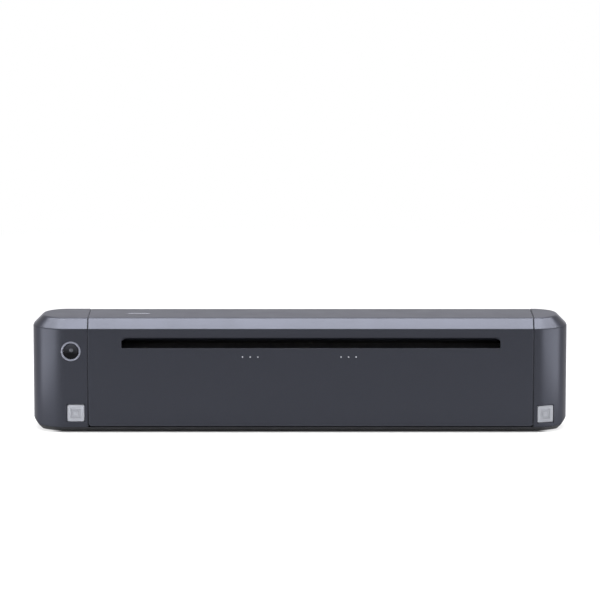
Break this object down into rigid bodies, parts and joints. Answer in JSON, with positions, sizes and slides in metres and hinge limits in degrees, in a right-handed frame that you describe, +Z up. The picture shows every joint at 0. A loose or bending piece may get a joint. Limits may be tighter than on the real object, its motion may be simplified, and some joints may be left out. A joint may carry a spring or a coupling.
{
  "type": "a4 portable thermal printer",
  "caption": "Slim A4 portable thermal printer: long rounded casing between two end caps, front paper slot, rear-hinged cover with print head, platen roller and gear train inside.",
  "frame": {"origin": "centre of the footprint, on the surface that the rubber feet stand on", "axes": "+X along the casing to the right as seen from the paper slot, +Y to the back (the slot faces -Y), +Z up"},
  "size_m": [0.314, 0.048, 0.0672],
  "materials": {
    "casing_grey": "satin dark grey with a faint metallic sheen",
    "tray_black": "matt near-black",
    "inner_black": "fine-textured black",
    "button_black": "polished black",
    "ring_grey": "satin mid grey",
    "key_silver": "satin light grey",
    "plate_steel": "plain rolled sheet",
    "pin_steel": "ground and polished",
    "motor_steel": "zinc-plated can",
    "sink_aluminium": "extruded, bare",
    "head_ceramic": "glazed",
    "bush_brass": "turned",
    "gear_white": "moulded acetal",
    "roller_rubber": "ground, matt",
    "foot_rubber": "matt",
    "board_green": "varnished circuit board",
    "chip_black": "moulded chips and sockets",
    "light_white": "milky light guide",
    "cell_blue": "shrink-wrapped"
  },
  "bodies": {
    "printer": {"base_tray": "tray_black", "rear_panel": "casing_grey", "end_cap_left": "casing_grey", "end_cap_right": "casing_grey", "side_plate_left": "plate_steel", "side_plate_right": "plate_steel", "cross_beam": "plate_steel", "plate_screws": "pin_steel", "seam_seals": "foot_rubber", "hinge_pin_left": "pin_steel", "hinge_pin_right": "pin_steel", "front_guide": "inner_black", "rear_guide": "inner_black", "flag_pin": "pin_steel", "paper_sensor": "inner_black", "platen_bush_left": "bush_brass", "platen_bush_right": "bush_brass", "idler_post": "pin_steel", "stepper_motor": "motor_steel", "battery_holder": "inner_black", "battery_cell_left": "cell_blue", "battery_cell_right": "cell_blue", "main_board": "board_green", "board_parts": "chip_black", "board_screws": "pin_steel", "usb_socket": "pin_steel", "magnet_holders": "inner_black", "cover_magnets": "pin_steel", "power_ring": "ring_grey", "power_switch": "inner_black", "left_key_switch": "inner_black", "left_key_board": "board_green", "right_key_switch": "inner_black", "right_key_board": "board_green", "rubber_feet": "foot_rubber", "tray_screws": "pin_steel"},
    "cover": {"front_cover": "casing_grey", "status_light": "light_white", "tear_bar": "plate_steel", "cover_keepers": "plate_steel", "head_clips": "plate_steel", "head_spring_left": "pin_steel", "head_spring_right": "pin_steel"},
    "head": {"print_head": "head_ceramic", "heat_sink": "sink_aluminium", "head_bracket": "plate_steel"},
    "platen": {"platen_roller": "roller_rubber", "platen_shaft": "pin_steel", "platen_gear": "gear_white"},
    "idler": {"idler_gear": "gear_white"},
    "motor_rotor": {"motor_shaft": "pin_steel", "motor_pinion": "bush_brass"},
    "flag": {"paper_flag": "inner_black"},
    "power": {"power_button": "button_black"},
    "key_left": {"left_key": "key_silver"},
    "key_right": {"right_key": "key_silver"}
  },
  "joints": [
    {"name": "cover_hinge", "type": "hinge", "parent": "printer", "child": "cover", "pos_m": [0, 0.0158, 0.0618], "axis": [-1, 0, 0], "range_deg": [0, 85]},
    {"name": "head_lift", "type": "slide", "parent": "cover", "child": "head", "axis": [0, 0, 1], "range_m": [0, 0.0008], "stiffness_N_per_m": 3000, "springref_m": -0.005, "deforming": ["head_spring_left", "head_spring_right"]},
    {"name": "platen_spin", "type": "hinge", "parent": "printer", "child": "platen", "pos_m": [0, 0, 0.046], "axis": [1, 0, 0], "continuous": true},
    {"name": "idler_spin", "type": "hinge", "parent": "printer", "child": "idler", "pos_m": [0, 0.005, 0.03218], "axis": [1, 0, 0], "continuous": true},
    {"name": "motor_spin", "type": "hinge", "parent": "printer", "child": "motor_rotor", "pos_m": [0, -0.004, 0.01883], "axis": [1, 0, 0], "continuous": true},
    {"name": "flag_swing", "type": "hinge", "parent": "printer", "child": "flag", "pos_m": [0, 0.0176, 0.044], "axis": [1, 0, 0], "range_deg": [0, 35], "stiffness_Nm_per_rad": 0.0004, "springref_deg": -17.19},
    {"name": "power_press", "type": "slide", "parent": "printer", "child": "power", "axis": [0, 1, 0], "range_m": [0, 0.0008], "stiffness_N_per_m": 1500, "springref_m": -0.0004},
    {"name": "left_key_press", "type": "slide", "parent": "printer", "child": "key_left", "axis": [0, 1, 0], "range_m": [0, 0.0005], "stiffness_N_per_m": 2000, "springref_m": -0.0003},
    {"name": "right_key_press", "type": "slide", "parent": "printer", "child": "key_right", "axis": [-0.355, 0.9349, 0], "range_m": [0, 0.0005], "stiffness_N_per_m": 2000, "springref_m": -0.0003}
  ],
  "couplings": [
    {"joint": "idler_spin", "follows": "platen_spin", "ratio": -1.3333},
    {"joint": "motor_spin", "follows": "platen_spin", "ratio": 3.0476}
  ]
}
